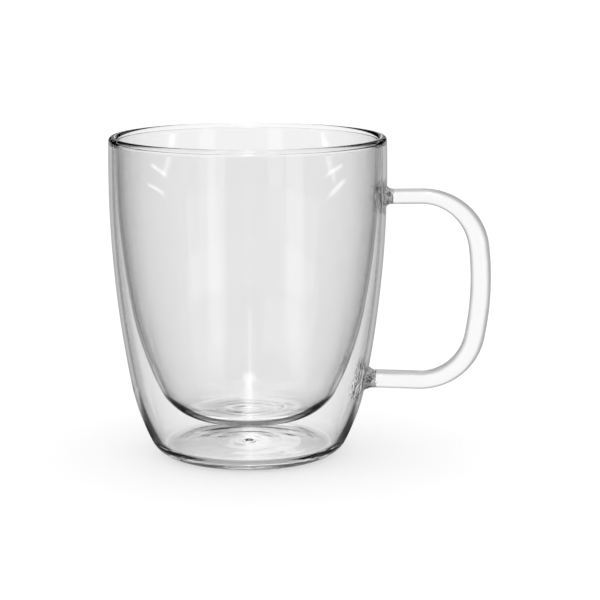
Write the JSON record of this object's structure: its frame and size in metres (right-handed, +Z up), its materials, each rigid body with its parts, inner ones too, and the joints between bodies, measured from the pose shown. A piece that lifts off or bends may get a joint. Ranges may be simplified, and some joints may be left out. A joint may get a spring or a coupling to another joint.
{
  "type": "double walled glass cup",
  "caption": "Tall rounded drinking cup of two clear glass shells fused at the lip, with a bent glass rod handle.",
  "frame": {"origin": "centre of the base, on the plane that the cup rests on", "axes": "+Z up along the cup's axis; +X from the axis towards the handle; +Y across"},
  "size_m": [0.1259, 0.0914, 0.106],
  "materials": {
    "shell_glass": "clear blown borosilicate glass, fire polished",
    "vessel_glass": "clear blown borosilicate glass, fire polished",
    "lip_glass": "clear glass, melted round",
    "rod_glass": "clear solid glass rod, fire polished",
    "weld_glass": "clear glass melted by hand, slightly wavy",
    "seal_glass": "clear glass melted by hand"
  },
  "bodies": {
    "root": {"outer_wall": "shell_glass", "inner_wall": "vessel_glass", "rim_bead": "lip_glass", "handle": "rod_glass", "upper_handle_weld": "weld_glass", "lower_handle_weld": "weld_glass", "vent_seal": "seal_glass"}
  },
  "joints": []
}
